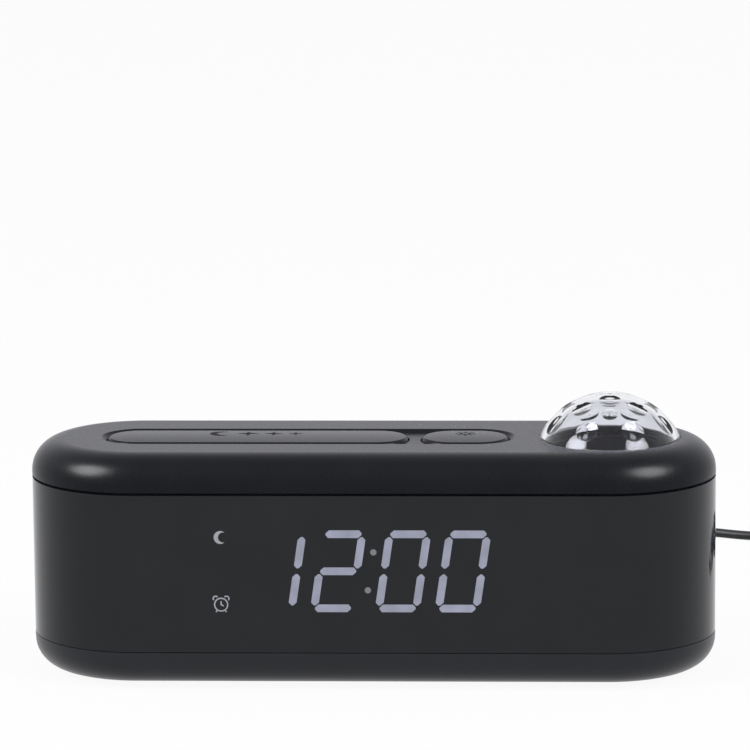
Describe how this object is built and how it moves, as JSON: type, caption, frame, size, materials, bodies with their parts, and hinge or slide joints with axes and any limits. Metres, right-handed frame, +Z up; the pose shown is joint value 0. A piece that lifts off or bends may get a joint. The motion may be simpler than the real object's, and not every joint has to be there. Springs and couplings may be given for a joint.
{
  "type": "projection alarm clock",
  "caption": "Long black projection alarm clock with rounded ends, hidden LED digits, snooze bar on top, keys and ports at the rear, clear dimpled dome and a plugged-in cable.",
  "frame": {"origin": "middle of the footprint, on the table under the rubber feet", "axes": "+X to the right along the width, seen from the front, where the dome is; the display faces -Y and the keys and ports +Y; +Z up"},
  "size_m": [0.2605, 0.1926, 0.0759],
  "materials": {
    "satin_black": "satin moulded black plastic with a very fine grain",
    "gloss_black": "polished smoked black plastic",
    "rubber": "matt black rubber",
    "steel": "plain zinc plated steel",
    "port_metal": "drawn nickel plated steel",
    "black_plastic": "matt black insulator plastic",
    "white_plastic": "matt white plastic",
    "switch_stem": "natural plastic",
    "board_green": "green solder mask",
    "blue_sleeve": "shrunk blue sleeve",
    "glow": "milky light guide",
    "led": "moulded LED resin",
    "clear_lens": "clear moulded lens plastic",
    "motor_metal": "plated motor can",
    "wire_red": "wire insulation",
    "cord_black": "soft black cord jacket"
  },
  "bodies": {
    "root": {"top_cover": "satin_black", "band_sleeve": "gloss_black", "bottom_shell": "satin_black", "rubber_feet": "rubber", "case_screws": "steel", "top_switches": "black_plastic", "rear_switches": "black_plastic", "main_board": "board_green", "board_screws": "steel", "clock_chip": "black_plastic", "capacitors": "blue_sleeve", "buzzer": "black_plastic", "cell_holder": "black_plastic", "backup_cell": "steel", "usb_c_shell": "port_metal", "usb_c_tongue": "black_plastic", "usb_c_riser": "black_plastic", "usb_a_shell": "port_metal", "usb_a_tongue": "white_plastic", "display_board": "board_green", "display_reflector": "white_plastic", "display_guides": "glow", "display_leds": "led", "display_mask": "black_plastic", "display_header": "black_plastic", "dome_lens": "clear_lens", "projector_cup": "black_plastic", "projector_screws": "steel", "projector_board": "black_plastic", "projector_leds": "led", "gear_motor": "motor_metal", "wire_plug": "white_plastic", "projector_wires": "wire_red"},
    "snooze_key": {"snooze_bar": "satin_black", "snooze_plungers": "switch_stem"},
    "light_key": {"light_button": "satin_black", "light_plunger": "switch_stem"},
    "alarm_key": {"alarm_button": "satin_black", "alarm_plunger": "switch_stem"},
    "setting_key": {"setting_button": "satin_black", "setting_plunger": "switch_stem"},
    "down_key": {"down_button": "satin_black", "down_plunger": "switch_stem"},
    "up_key": {"up_button": "satin_black", "up_plunger": "switch_stem"},
    "disc": {"motor_shaft": "steel", "ripple_disc": "clear_lens"},
    "cable": {"cable_tip": "port_metal", "cable_grip": "cord_black", "cable_relief": "cord_black", "cord_run": "cord_black", "cord_coil": "cord_black", "cord_tie": "cord_black", "cord_tail": "cord_black", "cable_end_grip": "cord_black", "cable_end_shell": "port_metal"}
  },
  "joints": [
    {"name": "snooze_press", "type": "slide", "parent": "root", "child": "snooze_key", "axis": [0, 0, -1], "range_m": [0, 0.0006], "stiffness_N_per_m": 150, "springref_m": -0.004},
    {"name": "light_press", "type": "slide", "parent": "root", "child": "light_key", "axis": [0, 0, -1], "range_m": [0, 0.0006], "stiffness_N_per_m": 100, "springref_m": -0.003},
    {"name": "alarm_press", "type": "slide", "parent": "root", "child": "alarm_key", "axis": [0, -1, 0], "range_m": [0, 0.0005], "stiffness_N_per_m": 60, "springref_m": -0.003},
    {"name": "setting_press", "type": "slide", "parent": "root", "child": "setting_key", "axis": [0, -1, 0], "range_m": [0, 0.0005], "stiffness_N_per_m": 60, "springref_m": -0.003},
    {"name": "down_press", "type": "slide", "parent": "root", "child": "down_key", "axis": [0, -1, 0], "range_m": [0, 0.0005], "stiffness_N_per_m": 60, "springref_m": -0.003},
    {"name": "up_press", "type": "slide", "parent": "root", "child": "up_key", "axis": [0, -1, 0], "range_m": [0, 0.0005], "stiffness_N_per_m": 60, "springref_m": -0.003},
    {"name": "disc_spin", "type": "hinge", "parent": "root", "child": "disc", "pos_m": [0.0642, 0, 0.0557], "axis": [0, 0, 1], "continuous": true},
    {"name": "cable_unplug", "type": "slide", "parent": "root", "child": "cable", "axis": [0, 1, 0], "range_m": [0, 0.012]}
  ]
}
